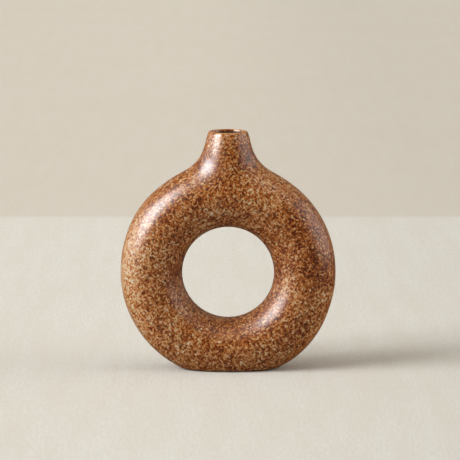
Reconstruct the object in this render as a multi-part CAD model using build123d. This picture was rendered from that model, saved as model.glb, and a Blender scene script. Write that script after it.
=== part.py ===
from build123d import *
import math
import os

# A hollow donut vase in glazed stoneware. Two pressed half shells are luted together
# with slip around the ring, a slab foot closes them below and a thrown neck above, and
# the whole is glazed outside and lined with glaze inside.
# X is the ring's width, Y its depth and Z is up. The origin is on the table, under the
# middle of the foot. Lengths are in millimetres.

# Ring, measured over the glaze
ring_width = 180.0
tube_diameter = 51.5
# Slice taken off the lowest part of the ring for the flat foot
foot_cut = 8.5

# Neck and mouth, measured over the glaze. The neck stands this far above the ring's crown
neck_height = 28.5
mouth_bore = 27.6
lip_wall = 2.9
# How far below the lip the neck begins to flare into the ring's shoulders
flare_start = 4.7
# The neck's cone starts inside the ring's tube, this far in and this far above its middle
neck_root_inset = 1.25
neck_root_rise = 5.0

# Clay walls
wall = 4.5
# Height of the joint that the neck stands on, above the ring's crown
neck_joint_rise = 2.0
# Flat left at the top of the lip, between its two rounded edges
lip_land = 0.1

# Slip between the clay pieces
slip = 0.6

# Glaze outside and lining inside
glaze = 0.5
lining = 0.4
# How far the outer glaze runs down inside the mouth, and where it stops above the table
glaze_wrap = 20.0
glaze_line = 1.0

# Foot slab
foot_thickness = 6.0
foot_rim = 6.0
foot_recess = 1.2
foot_edge_radius = 1.5
recess_edge_radius = 0.5

# Places that follow from the sizes above
ring_radius = ring_width / 2
tube_radius = tube_diameter / 2
centreline_radius = ring_radius - tube_radius
ring_centre = ring_radius - foot_cut
ring_crown = ring_centre + ring_radius
height = ring_crown + neck_height
tube_top_centre = ring_centre + centreline_radius
neck_root = tube_top_centre + neck_root_rise
neck_root_radius = tube_radius - neck_root_inset
bore_radius = mouth_bore / 2
lip_radius = bore_radius + lip_wall
taper = math.atan2(neck_root_radius - lip_radius, height - neck_root)
neck_joint = ring_crown + neck_joint_rise
shell_top = neck_joint - slip
shell_bottom = foot_thickness + slip
glaze_stop = height - glaze_wrap


def above(shape, level):
    """The part of a shape above a level."""
    return split(shape, bisect_by=Plane.XY.offset(level), keep=Keep.TOP)


def below(shape, level):
    """The part of a shape below a level."""
    return split(shape, bisect_by=Plane.XY.offset(level), keep=Keep.BOTTOM)


def between(shape, low, high):
    """The part of a shape between two levels."""
    return below(above(shape, low), high)


def flare_radius():
    """Radius of the arc that leaves the side of the neck at the start of the flare and
    meets the ring's outer circle."""
    start_x = lip_radius + flare_start * math.sin(taper)
    start_z = height - flare_start * math.cos(taper) - ring_centre
    along_normal = start_x * math.cos(taper) + start_z * math.sin(taper)
    outside_ring = start_x**2 + start_z**2 - ring_radius**2
    return outside_ring / (2 * (ring_radius - along_normal))


def form(inset):
    """The ring and neck as one closed form whose skin lies this far inside the finished
    surface. The seam of the tube is turned down to the foot, away from the neck."""
    torus = Torus(centreline_radius, tube_radius - inset)
    ring = Pos(Z=ring_centre) * Rot(Y=90) * Rot(X=90) * torus
    cone_inset = inset / math.cos(taper)
    cone_length = height - neck_root
    cone = Cone(neck_root_radius - cone_inset, lip_radius - cone_inset, cone_length)
    neck_cone = Pos(Z=neck_root + cone_length / 2) * Rot(Z=90) * cone
    joined = ring + neck_cone
    shoulder = joined.edges().filter_by(GeomType.BSPLINE)
    return fillet(shoulder, flare_radius() + inset)


def throat(radius):
    """The straight bore of the mouth, from the top down into the ring's hollow."""
    length = height - tube_top_centre
    return Pos(Z=tube_top_centre + length / 2) * Cylinder(radius, length)


def rounded_lip(body, top, bore):
    """A closed form cut off at the top, bored, and rounded over its lip."""
    bored = below(body, top) - throat(bore)
    rims = bored.edges().filter_by(GeomType.CIRCLE).group_by(Axis.Z)[-1]
    rim_width = rims.sort_by(SortBy.RADIUS)[-1].radius - bore
    return fillet(rims, (rim_width - lip_land) / 2)


def hollow(inset, bore, floor):
    """The space inside a wall: the ring's hollow, the neck's flare and the bore."""
    return above(form(inset) + throat(bore), floor)


def clay_hollow():
    """The space inside the clay, before it is lined with glaze."""
    return hollow(glaze + wall, bore_radius + glaze, foot_thickness)


def clay_body(inner):
    """All the stoneware in one, before it is parted at its luted joints."""
    outer = rounded_lip(form(glaze), height - glaze, bore_radius + glaze)
    return above(outer, 0) - inner


def sole(slab):
    """The flat face that the slab stands on."""
    return slab.faces().filter_by(GeomType.PLANE).sort_by(Axis.Z)[0]


def foot(clay):
    """The slab under the ring, with a shallow recess that leaves a rim to stand on."""
    slab = below(clay, foot_thickness)
    slab = fillet(sole(slab).edges(), foot_edge_radius)
    stand = sole(slab).bounding_box().size
    recess = extrude(Ellipse(stand.X / 2 - foot_rim, stand.Y / 2 - foot_rim), foot_recess)
    slab -= recess
    recess_edges = slab.edges().filter_by(GeomType.ELLIPSE)
    return fillet(recess_edges, recess_edge_radius)


def shells_and_seams(clay):
    """The two pressed half shells, and the slip that lutes them: around the ring's hole,
    and up its left and right sides between the foot and the neck."""
    ring_clay = between(clay, shell_bottom, shell_top)
    front_plane = Plane.XZ.offset(slip / 2)
    back_plane = Plane.XZ.offset(-slip / 2)
    front_shell = split(ring_clay, bisect_by=front_plane, keep=Keep.TOP)
    back_shell = split(ring_clay, bisect_by=back_plane, keep=Keep.BOTTOM)
    behind_front = split(ring_clay, bisect_by=front_plane, keep=Keep.BOTTOM)
    seam = split(behind_front, bisect_by=back_plane, keep=Keep.TOP)
    left_seam, hole_seam, right_seam = seam.solids().sort_by(Axis.X)
    return {
        "front_shell": front_shell,
        "back_shell": back_shell,
        "left_seam_slip": left_seam,
        "hole_seam_slip": hole_seam,
        "right_seam_slip": right_seam,
    }


def outer_glaze(clay, water_space):
    """The glaze over the outside, over the lip and down into the mouth."""
    finished = rounded_lip(form(0), height, bore_radius)
    mouth = above(finished, glaze_stop) - above(water_space, glaze_stop)
    mouth -= above(clay, glaze_stop)
    outside = between(form(0) - form(glaze), glaze_line, glaze_stop)
    return outside + mouth


def liner_glaze(inner, water_space):
    """The glaze that lines the hollow, from the floor up to the outer glaze."""
    return below(inner - water_space, glaze_stop)


def main():
    os.makedirs("parts", exist_ok=True)
    inner = clay_hollow()
    water_space = hollow(glaze + wall + lining, bore_radius, foot_thickness + lining)
    clay = clay_body(inner)
    pieces = shells_and_seams(clay)
    pieces["foot"] = foot(clay)
    pieces["foot_slip"] = between(clay, foot_thickness, shell_bottom)
    pieces["neck_slip"] = between(clay, shell_top, neck_joint)
    pieces["neck"] = above(clay, neck_joint)
    pieces["outer_glaze"] = outer_glaze(clay, water_space)
    pieces["liner_glaze"] = liner_glaze(inner, water_space)
    for name, piece in pieces.items():
        piece.label = name
        export_step(piece, os.path.join("parts", name + ".step"))
        print(name, len(piece.solids()), round(piece.volume), piece.is_valid)


main()
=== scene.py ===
import math

import bpy
import numpy as np
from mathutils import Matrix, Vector, noise


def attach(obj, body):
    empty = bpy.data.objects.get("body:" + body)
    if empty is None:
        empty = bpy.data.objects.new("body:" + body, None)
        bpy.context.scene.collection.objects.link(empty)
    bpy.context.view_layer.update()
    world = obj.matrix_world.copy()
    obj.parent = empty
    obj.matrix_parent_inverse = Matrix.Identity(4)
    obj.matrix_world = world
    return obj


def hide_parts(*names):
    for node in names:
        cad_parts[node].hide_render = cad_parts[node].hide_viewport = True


# A hollow donut vase in mottled brown glazed stoneware. The clay pieces, the slip and the
# inner glaze are the frame's own. The outer glaze is a mesh made here, over the clay.
# X is the ring's width, Y its depth and Z is up. Lengths are in metres, angles in degrees.
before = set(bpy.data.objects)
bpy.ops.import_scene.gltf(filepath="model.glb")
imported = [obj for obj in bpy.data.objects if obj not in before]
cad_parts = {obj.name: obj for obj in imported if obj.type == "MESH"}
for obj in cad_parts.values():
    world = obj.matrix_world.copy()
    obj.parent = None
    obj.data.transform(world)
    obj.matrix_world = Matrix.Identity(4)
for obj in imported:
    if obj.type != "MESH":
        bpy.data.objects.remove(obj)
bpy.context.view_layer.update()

# Ring, measured over the glaze
ring_middle = 0.0815
ring_side = 0.08975
hole_radius = 0.0383
tube_half_depth = 0.02548
tube_line = (ring_side + hole_radius) / 2

# The ring stands fuller than a circle at its shoulders and its crown. Each rise holds up to
# one angle from the top, and fades out over another.
shoulder_rise = 0.00145
shoulder_hold = 45
shoulder_fade = 45
crown_rise = 0.0018
crown_hold = 10
crown_fade = 30
# The right shoulder stands a little lower than the left one
shoulder_lean = 0.00055
# The ring sagged a little on its lower right before it was fired, at this angle from the top
# and within this much of it
sag = 0.0017
sag_at = 138
sag_reach = 34

# Neck and mouth, measured over the glaze
height = 0.2
neck_radius = 0.0162
# The neck widens by this much per metre of drop, and by less the further down
neck_flare = 0.308
neck_flare_fade = 3.5
# How softly the neck runs into the ring, at its sides and in front
side_blend = 0.01526
front_blend = 0.004
# The neck's own form ends this high, inside the tube
neck_root = 0.15
bore_radius = 0.0138
# The lip rolls over from the outside this far across and this far down, and into the bore
# this far down
lip_across = 0.0021
lip_fall = 0.003
lip_inside_fall = 0.003
mouth_depth = 0.02

# Where the glaze stops above the table, and its thickness there
glaze_line = 0.001
glaze_edge = 0.00045
# The glaze's lower edge turns under in these steps, as shares of its thickness there. It is
# tucked in by one more share.
edge_steps = (0.35, 1.0)
edge_tuck = 0.2
# The foot is about this many times as wide as it is deep, and half its depth lies between
# these two lengths
foot_stretch = 2
foot_least = 0.005
foot_most = 0.06

# Hand-made unevenness of the wall
relief_depth = 0.00013
relief_length = 0.023
# A second relief on top of it, as a share of its depth and this many times finer
fine_relief = 0.4
fine_relief_step = 2.6
# The unevenness starts this high above the table, and comes in over this much more
relief_from = 0.003
relief_fade = 0.012

# Mesh of the glaze
ring_steps = 224
tube_steps = 112
neck_patch = (24, 36)
foot_patch = (36, 36)
neck_loops = 24
foot_loops = 7
lip_loops = 16
bore_loops = 12
# How often the points are evened out, and pulled onto the surface each time
settle_rounds = 40
pull_rounds = 4
# How often the search for the foot's outline halves its range
halvings = 40

# Flecks of the glaze: a stroke's width, how many times longer it is, the spacing of the
# spots, and how much they count beside the strokes
stroke_width = 0.00135
stroke_stretch = 2.2
spot_spacing = 0.0027
spot_share = 0.28

# Darker patches, below 0, and paler ones, above 0: the place, its reach and the change of tone.
# Most are painted shade: on the ring's shaded right side and the hole's inner left, and darker
# glaze under the highlights at the upper left, the neck's left and the hole's lower right, and
# under the sheens on the neck's right and the upper right. The pale patch on the hole's inner
# right is painted light, where the key falls. Two faint ones darken the front's top and bottom.
tone_and_painted_shade = (
    ((0.07, -0.017, 0.088), 0.028, -0.09),
    ((0.062, -0.019, 0.112), 0.024, -0.05),
    ((0.017, -0.011, 0.182), 0.022, -0.13),
    ((-0.064, -0.018, 0.132), 0.026, -0.045),
    ((-0.016, -0.015, 0.176), 0.022, -0.08),
    ((-0.047, -0.02, 0.083), 0.02, -0.035),
    ((0.058, -0.019, 0.132), 0.03, -0.055),
    ((0.0, -0.024, 0.148), 0.03, -0.022),
    ((0.002, -0.021, 0.02), 0.036, -0.02),
    ((0.0356, -0.0195, 0.05), 0.018, -0.03),
    ((0.051, -0.022, 0.077), 0.018, 0.055),
)
# The glaze on the left of the neck came out glossier, within this reach
glossy_place = (-0.014, -0.017, 0.178)
glossy_reach = 0.03

# Floor, which reaches this far to every side and is this many faces across
floor_reach = 60
floor_cells = 24
# How far behind the vase its paint changes to the tone of a wall, and over what length
wall_line = 0.868
wall_line_blur = 0.03
floor_tint = (0.641, 0.643, 0.607)
wall_tint = (0.567, 0.542, 0.484)
plaster_shade = (0.5, 0.45, 0.38)
black = (0.0, 0.0, 0.0)

# Light, with the side from which the key comes
key_side = (-0.826, -0.34, 0.487)
lamp_distance = 2
white = (1.0, 1.0, 1.0)
# The world's colour, and its strength on the camera's side and behind the vase. It changes
# from one to the other up to this far towards each, of 1.
world_tint = (1.0, 0.85, 0.65)
world_front = 0.05
world_back = 0.34
world_turn = 0.8
# The world's strength where the camera sees it straight
world_seen = 0.4

# Camera, whose lens and sensor are in millimetres
camera_aim = (0.00158, 0, 0.11695)
camera_tilt = 8.5
camera_distance = 2.5
camera_lens = 234.8
camera_sensor = 36
camera_sight = 100


def smooth(t):
    """0 to 1, with soft ends."""
    t = np.clip(t, 0, 1)
    return t * t * (3 - 2 * t)


def outer_edge(angle):
    """The ring's outer radius by the angle from its top, in radians, to the right above 0."""
    turned = np.degrees(angle)
    away = np.abs(turned)
    shoulder = shoulder_rise - shoulder_lean * np.sin(angle)
    shoulder = shoulder * (1 - smooth((away - shoulder_hold) / shoulder_fade))
    crown = crown_rise * (1 - smooth((away - crown_hold) / crown_fade))
    sagged = sag * (1 - smooth(np.abs(turned - sag_at) / sag_reach))
    return ring_side + shoulder + crown + sagged


def ring_distance(p):
    """Distance from the ring's surface, negative inside."""
    x, y, up = p[:, 0], p[:, 1], p[:, 2] - ring_middle
    reach = np.hypot(x, up) - tube_line
    outside = outer_edge(np.arctan2(x, up)) - tube_line
    half = np.where(reach > 0, outside, tube_line - hole_radius)
    return (np.hypot(reach / half, y / tube_half_depth) - 1) * tube_half_depth


def neck_width(drop):
    """The neck's radius by the drop below the lip."""
    drop = np.minimum(drop, neck_flare / (2 * neck_flare_fade))
    return neck_radius + drop * neck_flare - drop * drop * neck_flare_fade


def neck_distance(p):
    """Distance from the neck's side, negative inside, which closes below its root."""
    slant = math.hypot(1, neck_flare)
    side = (np.hypot(p[:, 0], p[:, 1]) - neck_width(height - p[:, 2])) / slant
    return side + 2 * np.maximum(neck_root - p[:, 2], 0) ** 2 / tube_half_depth


def surface(p):
    """Distance from the glazed surface of the ring and its neck, negative inside."""
    ring = ring_distance(p)
    neck = neck_distance(p)
    sideways = p[:, 0] ** 2 / (p[:, 0] ** 2 + p[:, 1] ** 2 + 1e-12)
    blend = front_blend + (side_blend - front_blend) * sideways
    near = np.maximum(blend - np.abs(ring - neck), 0) / blend
    return np.minimum(ring, neck) - near * near * blend / 4


def slope(p):
    """The way in which the distance from the surface grows fastest."""
    step = 2e-5
    ways = np.eye(3) * step
    return np.stack([(surface(p + d) - surface(p - d)) / (2 * step) for d in ways], axis=1)


def onto_surface(p):
    """The points, pulled onto the surface."""
    for _ in range(pull_rounds):
        g = slope(p)
        p = p - surface(p)[:, None] * g / (g * g).sum(axis=1)[:, None]
    return p


class Cage:
    """Points and four-sided faces of the glaze, gathered loop by loop."""

    def __init__(self):
        self.points = np.zeros((0, 3))
        self.faces = []

    def add(self, points):
        """Adds points and gives their numbers."""
        first = len(self.points)
        self.points = np.vstack([self.points, points])
        return np.arange(first, first + len(points))

    def join(self, a, b):
        """Faces between two closed loops."""
        count = len(a)
        for k in range(count):
            n = (k + 1) % count
            self.faces.append((a[k], a[n], b[n], b[k]))


def patch(middle, size):
    """Rows and columns of a patch of the ring's grid, and the way round its edge."""
    i0, j0 = middle - size[0] // 2, -size[1] // 2
    i1, j1 = i0 + size[0], j0 + size[1]
    way = [(i, j0) for i in range(i0, i1)]
    way += [(i1, j) for j in range(j0, j1)]
    way += [(i, j1) for i in range(i1, i0, -1)]
    way += [(i0, j) for j in range(j1, j0, -1)]
    inside = {(i % ring_steps, j % tube_steps) for i in range(i0, i1) for j in range(j0, j1)}
    return inside, way


def grid_number(i, j):
    """The number of a point of the ring's grid."""
    return (i % ring_steps) * tube_steps + j % tube_steps


def ring_points():
    """The ring's grid, tube by tube."""
    i, j = np.meshgrid(np.arange(ring_steps), np.arange(tube_steps), indexing="ij")
    turn = (i * 2 * math.pi / ring_steps).ravel()
    round_tube = (j * 2 * math.pi / tube_steps).ravel()
    outer = outer_edge(np.arctan2(np.sin(turn), np.cos(turn)))
    lean = np.cos(round_tube)
    rho = tube_line + np.where(lean > 0, outer - tube_line, tube_line - hole_radius) * lean
    deep = tube_half_depth * np.sin(round_tube)
    return np.stack([rho * np.sin(turn), deep, ring_middle + rho * np.cos(turn)], axis=1)


def ring_cage():
    """The ring as a grid, with a patch left open for the neck and one for the foot."""
    cage = Cage()
    cage.add(ring_points())
    neck_inside, neck_way = patch(0, neck_patch)
    foot_inside, foot_way = patch(ring_steps // 2, foot_patch)
    open_faces = neck_inside | foot_inside
    for i in range(ring_steps):
        for j in range(tube_steps):
            if (i, j) not in open_faces:
                corners = ((i, j), (i + 1, j), (i + 1, j + 1), (i, j + 1))
                cage.faces.append(tuple(grid_number(*corner) for corner in corners))
    return cage, [grid_number(*s) for s in neck_way], [grid_number(*s) for s in foot_way]


def even_angles(start):
    """Evenly spaced angles that lie nearest to the given ones, which go once round."""
    wound = np.unwrap(start)
    once_round = math.copysign(2 * math.pi, wound[-1] - wound[0])
    even = np.linspace(0, once_round, len(start), endpoint=False)
    return even + (wound - even).mean()


def bridge(cage, loop, last, count):
    """Loops from an edge of the grid to a last loop of the given points."""
    start = cage.points[loop]
    for k in range(1, count + 1):
        share = k / count
        new = cage.add(start * (1 - share) + last * share)
        cage.join(loop, new)
        loop = new
    return loop


def circle(radius, z, angles):
    """Points round the mouth's axis."""
    levels = np.full(len(angles), z)
    return np.stack([radius * np.cos(angles), radius * np.sin(angles), levels], axis=1)


def lip_shape():
    """Where the lip's roll meets the neck, as an angle on the roll, and its crest's radius."""
    start = math.atan(neck_flare * lip_fall / lip_across)
    drop = lip_fall * (1 - math.sin(start))
    crest = neck_width(drop) - lip_across * math.cos(start)
    return start, crest


def lip_circle(crest, lean, angles):
    """A circle of the lip's roll, by the angle on the roll from outside to inside."""
    outside = lean < math.pi / 2
    across = lip_across if outside else crest - bore_radius
    fall = lip_fall if outside else lip_inside_fall
    return circle(crest + across * math.cos(lean), height + fall * (math.sin(lean) - 1), angles)


def foot_outline(angles, z):
    """Points of the surface at a height near the table, by angle."""
    way = np.stack([foot_stretch * np.cos(angles), np.sin(angles), 0 * angles], axis=1)
    low = np.full(len(angles), foot_least)
    high = np.full(len(angles), foot_most)
    for _ in range(halvings):
        middle = (low + high) / 2
        p = way * middle[:, None]
        p[:, 2] = z
        inside = surface(p) < 0
        low = np.where(inside, middle, low)
        high = np.where(inside, high, middle)
    p = way * low[:, None]
    p[:, 2] = z
    return p


def neck_side(cage, way, lip_start, crest):
    """Loops from the ring up to where the lip's roll begins."""
    start = cage.points[way]
    angles = even_angles(np.arctan2(start[:, 1], start[:, 0]))
    return bridge(cage, way, lip_circle(crest, lip_start, angles), neck_loops)


def foot_side(cage, way):
    """Loops from the ring down to the end of the glaze."""
    start = cage.points[way]
    angles = even_angles(np.arctan2(foot_stretch * start[:, 1], start[:, 0]))
    return bridge(cage, way, foot_outline(angles, glaze_line + glaze_edge), foot_loops)


def settle(cage, pinned):
    """Evens the points out along the surface."""
    edges = {tuple(sorted((face[k], face[k - 1]))) for face in cage.faces for k in range(4)}
    a, b = np.array(sorted(edges)).T
    count = np.bincount(np.concatenate([a, b]), minlength=len(cage.points))
    loose = np.ones(len(cage.points), bool)
    loose[pinned] = False
    loose &= count > 0
    for _ in range(settle_rounds):
        total = np.zeros_like(cage.points)
        for axis in range(3):
            total[:, axis] = np.bincount(a, cage.points[b, axis], len(cage.points))
            total[:, axis] += np.bincount(b, cage.points[a, axis], len(cage.points))
        mean = total[loose] / count[loose][:, None]
        cage.points[loose] = onto_surface((cage.points[loose] + mean) / 2)


def relief(p):
    """How far the hand-made wall stands in or out at each point."""
    rise = []
    for q in p:
        broad = noise.noise(Vector(q) / relief_length)
        fine = noise.noise(Vector(q) * fine_relief_step / relief_length)
        rise.append(broad + fine_relief * fine)
    return np.array(rise) * relief_depth


def turn_under(cage, foot, normal):
    """The glaze's rounded lower edge, which turns in under the ring."""
    low = cage.points[foot]
    inward = -normal * (1, 1, 0)
    inward /= np.linalg.norm(inward, axis=1)[:, None]
    for share in edge_steps:
        edge = low + inward * glaze_edge * (share + edge_tuck)
        edge[:, 2] = low[:, 2] - glaze_edge * math.sin(share * math.pi / 2)
        new = cage.add(edge)
        cage.join(foot, new)
        foot = new


def lip_and_bore(cage, lip, lip_start, crest):
    """The lip's roll, and the bore down to the glaze's end inside it."""
    points = cage.points[lip]
    angles = np.arctan2(points[:, 1], points[:, 0])
    loops = []
    for k in range(1, lip_loops + 1):
        lean = lip_start + (math.pi - lip_start) * k / lip_loops
        loops.append(lip_circle(crest, lean, angles))
    for k in range(1, bore_loops + 1):
        level = height - lip_inside_fall - (mouth_depth - lip_inside_fall) * k / bore_loops
        loops.append(circle(bore_radius, level, angles))
    loops.append(circle(bore_radius + glaze_edge, height - mouth_depth, angles))
    for loop in loops:
        new = cage.add(loop)
        cage.join(lip, new)
        lip = new


def glaze_cage():
    """The glaze, from its edge above the table to its end inside the mouth."""
    cage, neck_way, foot_way = ring_cage()
    lip_start, crest = lip_shape()
    lip = neck_side(cage, neck_way, lip_start, crest)
    foot = foot_side(cage, foot_way)
    settle(cage, np.concatenate([lip, foot]))
    normal = slope(cage.points)
    normal /= np.linalg.norm(normal, axis=1)[:, None]
    fade = smooth((cage.points[:, 2] - relief_from) / relief_fade)
    cage.points += normal * (relief(cage.points) * fade)[:, None]
    turn_under(cage, foot, normal[foot])
    lip_and_bore(cage, lip, lip_start, crest)
    return cage


def glaze_object():
    """The glaze as an object in place of the frame's even layer."""
    cage = glaze_cage()
    used = np.zeros(len(cage.points), bool)
    faces = np.array(cage.faces)
    used[faces.ravel()] = True
    number = np.cumsum(used) - 1
    mesh = bpy.data.meshes.new("outer_glaze_coat")
    mesh.from_pydata(cage.points[used].tolist(), [], number[faces].tolist())
    foremost = min(mesh.polygons, key=lambda face: face.center.y)
    if foremost.normal.y > 0:
        mesh.flip_normals()
    mesh.shade_smooth()
    coat = bpy.data.objects.new("outer_glaze_coat", mesh)
    bpy.context.scene.collection.objects.link(coat)
    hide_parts("outer_glaze")
    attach(coat, "root")
    return coat


class Paint:
    """Short calls for a material's nodes."""

    def __init__(self, name):
        self.material = bpy.data.materials.new(name)
        self.material.use_nodes = True
        self.tree = self.material.node_tree
        self.shader = self.tree.nodes["Principled BSDF"]
        self.place = self.node("ShaderNodeTexCoord").outputs["Object"]

    def node(self, kind, **settings):
        made = self.tree.nodes.new(kind)
        for key, value in settings.items():
            setattr(made, key, value)
        return made

    def put(self, socket, value):
        """Links or sets a socket."""
        if isinstance(value, bpy.types.NodeSocket):
            self.tree.links.new(value, socket)
        else:
            socket.default_value = value

    def math(self, operation, a, b=0.0):
        made = self.node("ShaderNodeMath", operation=operation)
        self.put(made.inputs[0], a)
        self.put(made.inputs[1], b)
        return made.outputs[0]

    def vector(self, operation, a, b):
        made = self.node("ShaderNodeVectorMath", operation=operation)
        self.put(made.inputs[0], a)
        if operation == "SCALE":
            self.put(made.inputs["Scale"], b)
        else:
            self.put(made.inputs[1], b)
        return made.outputs[0]

    def along(self, axis):
        """The place along one axis."""
        parts = self.node("ShaderNodeSeparateXYZ")
        self.put(parts.inputs[0], self.place)
        return parts.outputs[axis]

    def span(self, a, b):
        """The distance from an axis, by the two places across it."""
        squares = self.math("ADD", self.math("MULTIPLY", a, a), self.math("MULTIPLY", b, b))
        return self.math("SQRT", squares)

    def noise(self, length, place=None, detail=2.0, rough=0.5, bend=0.0, colour=False):
        """Noise whose main features are about that many metres across."""
        made = self.node("ShaderNodeTexNoise")
        self.put(made.inputs["Vector"], place or self.place)
        made.inputs["Scale"].default_value = 1 / length
        made.inputs["Detail"].default_value = detail
        made.inputs["Roughness"].default_value = rough
        made.inputs["Distortion"].default_value = bend
        return made.outputs["Color" if colour else "Fac"]

    def cells(self, length, place):
        """Distance from the nearest of many scattered points, about that many metres apart."""
        made = self.node("ShaderNodeTexVoronoi", feature="F1")
        self.put(made.inputs["Vector"], place)
        made.inputs["Scale"].default_value = 1 / length
        return made.outputs["Distance"]

    def shift(self, offset, place=None):
        return self.vector("ADD", place or self.place, offset)

    def warp(self, length, amount, place=None):
        """The place, pushed about by noise."""
        push = self.vector("SUBTRACT", self.noise(length, place, colour=True), (0.5, 0.5, 0.5))
        return self.vector("ADD", place or self.place, self.vector("SCALE", push, amount))

    def drawn_out(self, stretch, round_z, place, round_y=0):
        """The place, squeezed along one direction, so that noise on it comes out in strokes."""
        made = self.node("ShaderNodeMapping", vector_type="TEXTURE")
        self.put(made.inputs["Vector"], place)
        made.inputs["Rotation"].default_value = (0, math.radians(round_y), math.radians(round_z))
        made.inputs["Scale"].default_value = (stretch, 1, 1)
        return made.outputs["Vector"]

    def fit(self, value, low, high, to_low=0.0, to_high=1.0, soft=True):
        """A value between two limits, moved between two others."""
        kind = "SMOOTHSTEP" if soft else "LINEAR"
        made = self.node("ShaderNodeMapRange", interpolation_type=kind)
        self.put(made.inputs["Value"], value)
        limits = {"From Min": low, "From Max": high, "To Min": to_low, "To Max": to_high}
        for key, number in limits.items():
            made.inputs[key].default_value = number
        return made.outputs["Result"]

    def near(self, point, reach):
        """1 at a point, falling to 0 that many metres from it."""
        away = self.node("ShaderNodeVectorMath", operation="DISTANCE")
        self.put(away.inputs[0], self.place)
        self.put(away.inputs[1], point)
        return self.fit(away.outputs["Value"], 0.0, reach, 1.0, 0.0)

    def ramp(self, value, stops):
        made = self.node("ShaderNodeValToRGB")
        self.put(made.inputs["Fac"], value)
        ends = made.color_ramp.elements
        while len(ends) < len(stops):
            ends.new(0.5)
        for end, (at, colour) in zip(ends, stops):
            end.position = at
            end.color = (*colour, 1)
        return made.outputs["Color"]

    def blend(self, share, a, b):
        """A number between two others."""
        made = self.node("ShaderNodeMix", data_type="FLOAT")
        self.put(made.inputs["Factor"], share)
        self.put(made.inputs[2], a)
        self.put(made.inputs[3], b)
        return made.outputs[0]

    def mix(self, share, a, b):
        """A colour between two others."""
        made = self.node("ShaderNodeMix", data_type="RGBA")
        self.put(made.inputs["Factor"], share)
        for socket, value in ((made.inputs[6], a), (made.inputs[7], b)):
            self.put(socket, value if isinstance(value, bpy.types.NodeSocket) else (*value, 1))
        return made.outputs[2]

    def bump(self, height_value, depth):
        made = self.node("ShaderNodeBump")
        made.inputs["Strength"].default_value = 1.0
        made.inputs["Distance"].default_value = depth
        self.put(made.inputs["Height"], height_value)
        return made.outputs["Normal"]

    def set(self, **sockets):
        """Sets the shader's sockets, named with underscores for spaces."""
        for key, value in sockets.items():
            self.put(self.shader.inputs[key.replace("_", " ")], value)


def lip_share(paint):
    """How much of the lip's rust tone shows on its crest, where the glaze runs thin."""
    return paint.fit(paint.along("Z"), height - 0.0009, height - 0.0003, 0.0, 0.75)


def lip_gloss(paint):
    """How much smoother the glaze is where the lip rolls over."""
    return paint.fit(paint.along("Z"), height - 0.0042, height - 0.0024, 0.0, 0.15)


def left_painted_light(paint):
    """How much paler the ring's left is painted: painted light and sheen on the side the key
    comes from.
    """
    return paint.fit(paint.along("X"), -0.088, -0.056, 0.1, 0.0)


def mouth_shade_share(paint):
    """1 down inside the mouth, where the glaze is painted near black as painted shade, 0 on the
    lip and outside.
    """
    reach = paint.span(paint.along("X"), paint.along("Y"))
    inside = paint.fit(reach, bore_radius + 0.0001, bore_radius + 0.0009, 1.0, 0.0)
    low = paint.fit(paint.along("Z"), height - 0.0032, height - 0.0008, 1.0, 0.0)
    # The ring's wall straight under the mouth is left out
    high = paint.fit(paint.along("Z"), 0.165, 0.17)
    return paint.math("MULTIPLY", paint.math("MULTIPLY", inside, low), high)


def hole_share(paint):
    """1 on the wall round the ring's hole, 0 outside it."""
    up = paint.math("SUBTRACT", paint.along("Z"), ring_middle)
    return paint.fit(paint.span(paint.along("X"), up), 0.038, 0.058, 1.0, 0.0)


def fleck_pattern(paint, bent):
    """Short strokes that lean both ways, run together with curled spots."""
    one_way = paint.drawn_out(stroke_stretch, 20, bent, 48)
    other_place = paint.shift((0.4, 0.8, 0.2), bent)
    other_way = paint.drawn_out(stroke_stretch, -20, other_place, -40)
    rising = paint.noise(stroke_width, one_way, detail=0.6, bend=0.4)
    falling = paint.noise(stroke_width, other_way, detail=0.6, bend=0.4)
    pick = paint.noise(0.0042, paint.shift((0.2, 0.5, 0.9)), detail=1.0)
    strokes = paint.blend(paint.fit(pick, 0.45, 0.55), rising, falling)
    curled = paint.warp(0.0015, 0.0015, bent)
    spots = paint.fit(paint.cells(spot_spacing, curled), 0.1, 0.7, 0.3, 0.66, soft=False)
    both = paint.blend(spot_share, strokes, spots)
    return paint.fit(both, 0.2, 0.8, 0.17, 0.824, soft=False)


def firing_and_painted_light(paint):
    """How much paler, or darker below 0, the glaze is from place to place: random firing, with
    painted shade and painted light.
    """
    drift = paint.noise(0.012, paint.shift((0.7, 0.2, 0.4)))
    drift = paint.fit(drift, 0.3, 0.7, -0.04, 0.032, soft=False)
    cloud = paint.noise(0.045, paint.shift((0.1, 0.9, 0.3)))
    cloud = paint.fit(cloud, 0.3, 0.7, -0.03, 0.03, soft=False)
    tone = paint.math("ADD", drift, cloud)
    # Painted shade: the wall round the hole is painted darker
    tone = paint.math("SUBTRACT", tone, paint.math("MULTIPLY", hole_share(paint), 0.035))
    # Painted light: the ring's left, on the key's side, is painted paler
    tone = paint.math("ADD", tone, left_painted_light(paint))
    # Patches of painted shade under the highlights and sheens and on the shaded side, and one of
    # painted light
    for point, reach, amount in tone_and_painted_shade:
        tone = paint.math("ADD", tone, paint.math("MULTIPLY", paint.near(point, reach), amount))
    return tone


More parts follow.
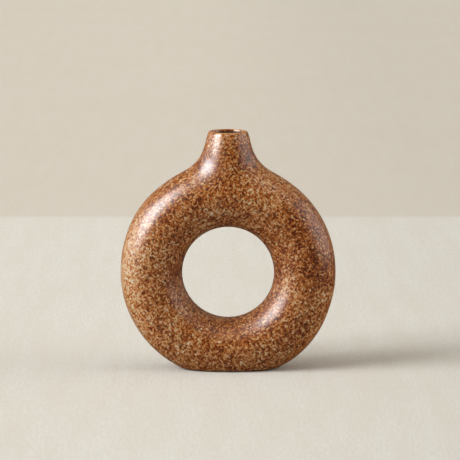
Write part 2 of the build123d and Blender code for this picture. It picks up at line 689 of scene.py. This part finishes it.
def glaze_colour(paint, bent, fleck):
    """Tan, rust and dark brown by the fleck, with dark spots, a thin lip and painted shade down
    in the mouth.
    """
    # The tone holds the glaze's own random firing, and painted shade and painted light
    fired = firing_and_painted_light(paint)
    blot = paint.noise(0.0036, paint.shift((0.31, 0.17, 0.53), bent), detail=1.0)
    blot = paint.fit(blot, 0.3, 0.7, -0.036, 0.036, soft=False)
    stops = (
        (0.32, (0.072, 0.009, 0.0)),
        (0.42, (0.18, 0.037, 0.0)),
        (0.49, (0.29, 0.081, 0.009)),
        (0.56, (0.38, 0.154, 0.042)),
        (0.64, (0.45, 0.278, 0.134)),
        (0.75, (0.49, 0.415, 0.31)),
    )
    colour = paint.ramp(paint.math("ADD", paint.math("ADD", fleck, blot), fired), stops)
    spot = paint.noise(0.0026, paint.shift((0.93, 0.37, 0.13), bent), detail=1.0, bend=0.8)
    spot = paint.math("SUBTRACT", spot, paint.math("MULTIPLY", fired, 0.6))
    dark = paint.math("MULTIPLY", paint.fit(spot, 0.6, 0.66), 0.75)
    colour = paint.mix(dark, colour, (0.055, 0.008, 0.0))
    colour = paint.mix(lip_share(paint), colour, (0.45, 0.20, 0.075))
    # Painted shade: near black down inside the mouth
    return paint.mix(mouth_shade_share(paint), colour, (0.025, 0.008, 0.003))


def glaze_roughness(paint, fleck):
    """Smoother on the light flecks and the lip, rougher in the mouth and round the hole."""
    rough = paint.math("SUBTRACT", paint.fit(fleck, 0.3, 0.7, 0.33, 0.28), lip_gloss(paint))
    rough = paint.math("ADD", rough, paint.math("MULTIPLY", mouth_shade_share(paint), 0.3))
    return paint.math("ADD", rough, paint.math("MULTIPLY", hole_share(paint), 0.15))


def glaze_paint():
    """Satin brown glaze with flecks that run together."""
    paint = Paint("mottled_glaze")
    bent = paint.warp(0.003, 0.0022)
    fleck = fleck_pattern(paint, bent)
    colour = glaze_colour(paint, bent, fleck)
    glossy = paint.near(glossy_place, glossy_reach)
    shine = paint.math("ADD", paint.math("MULTIPLY", glossy, 0.15), 0.5)
    rough = glaze_roughness(paint, fleck)
    paint.set(Base_Color=colour, Roughness=rough, IOR=1.64, Specular_IOR_Level=shine)
    fine = paint.noise(0.0009, detail=1.0)
    paint.set(Normal=paint.bump(paint.math("ADD", fleck, fine), 0.00001))
    return paint.material


def clay_paint(name, light, dark, speck):
    """Bare fired clay with grog and iron specks."""
    paint = Paint(name)
    grain = paint.noise(0.0006, detail=3.0, rough=0.7)
    patchy = paint.noise(0.012, detail=3.0)
    colour = paint.mix(paint.fit(patchy, 0.3, 0.7), light, dark)
    colour = paint.mix(paint.fit(grain, 0.35, 0.65, 0.0, 0.35), colour, dark)
    specks = paint.noise(0.0013, paint.shift((0.4, 0.1, 0.8)), detail=1.0)
    colour = paint.mix(paint.fit(specks, 0.66, 0.72), colour, speck)
    paint.set(Base_Color=colour, Roughness=paint.fit(grain, 0.3, 0.7, 0.78, 0.92), IOR=1.45)
    paint.set(Normal=paint.bump(grain, 0.00012))
    return paint.material


def liner_paint():
    """Glossy dark brown glaze that lines the hollow."""
    paint = Paint("liner_glaze_paint")
    run = paint.noise(0.009, paint.warp(0.01, 0.006), detail=3.0)
    fleck = paint.noise(0.0018, detail=1.5)
    stops = (
        (0.3, (0.035, 0.014, 0.007)),
        (0.5, (0.075, 0.028, 0.012)),
        (0.72, (0.14, 0.055, 0.022)),
    )
    colour = paint.ramp(run, stops)
    colour = paint.mix(paint.fit(fleck, 0.58, 0.7, 0.0, 0.5), colour, (0.2, 0.09, 0.04))
    paint.set(Base_Color=colour, Roughness=paint.fit(run, 0.3, 0.7, 0.16, 0.24), IOR=1.5)
    paint.set(Normal=paint.bump(run, 0.0002))
    return paint.material


def wear(node, material):
    """Gives one of the frame's own pieces its material."""
    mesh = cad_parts[node].data
    mesh.materials.clear()
    mesh.materials.append(material)


def floor_paint():
    """Pale trowelled plaster. Behind the vase it changes to the tone of a plain wall."""
    paint = Paint("floor_paint")
    far = paint.fit(paint.along("Y"), wall_line, wall_line + wall_line_blur)
    broad = paint.noise(0.3, detail=3.0, rough=0.6)
    fine = paint.noise(0.0035, detail=3.0, rough=0.7)
    # The grain is drawn out towards the wall
    grain = paint.noise(0.0022, paint.drawn_out(6, 90, paint.place), detail=4.0, rough=0.75)
    cloudy = paint.noise(0.02, paint.drawn_out(9, 90, paint.place), detail=4.0, rough=0.6)
    colour = paint.mix(far, floor_tint, wall_tint)
    colour = paint.mix(paint.fit(broad, 0.3, 0.7, 0.0, 0.1), colour, plaster_shade)
    colour = paint.mix(paint.fit(grain, 0.35, 0.65, 0.0, 0.3), colour, plaster_shade)
    colour = paint.mix(paint.fit(cloudy, 0.35, 0.65, 0.0, 0.14), colour, plaster_shade)
    # The light falls off a little to the right
    colour = paint.mix(paint.fit(paint.along("X"), -0.12, 0.3, 0.0, 0.09), colour, black)
    # Dimmer in the glaze's reflections, as with dark cards round a glossy thing in a studio
    ray = paint.node("ShaderNodeLightPath")
    dimmed = paint.math("MULTIPLY", ray.outputs["Is Glossy Ray"], 0.93)
    colour = paint.mix(dimmed, colour, black)
    paint.set(Base_Color=colour, Roughness=0.85, IOR=1.4)
    paint.set(Normal=paint.bump(paint.math("ADD", fine, grain), 0.00013))
    return paint.material


def floor_object():
    """A plain pale floor, far wider than the picture."""
    mesh = bpy.data.meshes.new("floor")
    row = floor_cells + 1
    line = np.linspace(-floor_reach, floor_reach, row)
    points = [(x, y, 0) for y in line for x in line]
    corners = [j * row + k for j in range(floor_cells) for k in range(floor_cells)]
    faces = [(k, k + 1, k + row + 1, k + row) for k in corners]
    mesh.from_pydata(points, [], faces)
    mesh.materials.append(floor_paint())
    floor = bpy.data.objects.new("floor", mesh)
    bpy.context.scene.collection.objects.link(floor)


def soft_light(name, towards, spread, strength, colour, diffuse=True, glossy=True):
    """A wide, distant soft light, so that the floor is lit evenly."""
    data = bpy.data.lights.new(name, "SUN")
    data.angle = math.radians(spread)
    data.energy = strength
    data.color = colour
    lamp = bpy.data.objects.new(name, data)
    lamp.visible_diffuse = diffuse
    lamp.visible_glossy = glossy
    way = Vector(towards).normalized()
    lamp.location = way * lamp_distance
    lamp.rotation_mode = "QUATERNION"
    lamp.rotation_quaternion = (-way).to_track_quat("-Z", "Y")
    bpy.context.scene.collection.objects.link(lamp)


def lights():
    """A key on the left with its gleam, rims on both sides, and soft fill from around."""
    soft_light("key", key_side, 37, 3.3, white)
    soft_light("gleam", key_side, 48, 1.15, (0.95, 0.98, 1.0), diffuse=False)
    soft_light("key_top", (-0.66, -0.40, 0.63), 30, 0.5, white)
    soft_light("left_rim", (-0.95, 0.2, 0.2), 45, 0.7, white)
    soft_light("fill", (0.857, -0.35, 0.376), 36, 0.2, (1.0, 0.97, 0.96))
    soft_light("bounce", (0.97, -0.05, 0.1), 60, 1.8, (1.0, 0.92, 0.82), glossy=False)
    soft_light("right_rim", (0.95, 0.11, 0.23), 54, 0.8, (1.0, 0.98, 0.96))
    soft_light("top", (0.1, -0.3, 0.95), 70, 0.62, (1.0, 0.94, 0.86))


def studio_world():
    """Warm light from all around, dimmer on the camera's side and paler behind the vase."""
    world = bpy.data.worlds.new("studio")
    bpy.context.scene.world = world
    world.use_nodes = True
    tree = world.node_tree
    back = tree.nodes["Background"]
    back.inputs["Color"].default_value = (*world_tint, 1)
    way = tree.nodes.new("ShaderNodeTexCoord")
    parts = tree.nodes.new("ShaderNodeSeparateXYZ")
    shade = tree.nodes.new("ShaderNodeMapRange")
    shade.inputs["From Min"].default_value = -world_turn
    shade.inputs["From Max"].default_value = world_turn
    shade.inputs["To Min"].default_value = world_front
    shade.inputs["To Max"].default_value = world_back
    tree.links.new(way.outputs["Generated"], parts.inputs[0])
    tree.links.new(parts.outputs["Y"], shade.inputs["Value"])
    # Seen straight by the camera, over the floor's end, it is as pale as the wall
    ray = tree.nodes.new("ShaderNodeLightPath")
    seen = tree.nodes.new("ShaderNodeMix")
    seen.inputs[3].default_value = world_seen
    tree.links.new(ray.outputs["Is Camera Ray"], seen.inputs["Factor"])
    tree.links.new(shade.outputs["Result"], seen.inputs[2])
    tree.links.new(seen.outputs[0], back.inputs["Strength"])


def camera():
    """A long lens in front of the vase that looks a little down."""
    data = bpy.data.cameras.new("camera")
    data.sensor_width = camera_sensor
    data.lens = camera_lens
    data.clip_end = camera_sight
    eye = bpy.data.objects.new("camera", data)
    tilt = math.radians(camera_tilt)
    back = Vector((0, -math.cos(tilt), math.sin(tilt)))
    eye.location = Vector(camera_aim) + back * camera_distance
    eye.rotation_mode = "QUATERNION"
    eye.rotation_quaternion = (-back).to_track_quat("-Z", "Y")
    bpy.context.scene.collection.objects.link(eye)
    bpy.context.scene.camera = eye


def clay_and_lining():
    """Materials of the pieces under the outer glaze."""
    stoneware = clay_paint(
        "stoneware_paint", (0.15, 0.085, 0.045), (0.085, 0.045, 0.025), (0.025, 0.012, 0.008)
    )
    slip = clay_paint("slip_paint", (0.2, 0.12, 0.07), (0.13, 0.075, 0.042), (0.04, 0.02, 0.012))
    for node in ("front_shell", "back_shell", "foot", "neck"):
        wear(node, stoneware)
    for node in ("left_seam_slip", "hole_seam_slip", "right_seam_slip", "foot_slip", "neck_slip"):
        wear(node, slip)
    wear("liner_glaze", liner_paint())


camera()
lights()
studio_world()
floor_object()
bpy.context.scene.view_settings.view_transform = "Standard"

coat = glaze_object()
coat.data.materials.append(glaze_paint())
clay_and_lining()
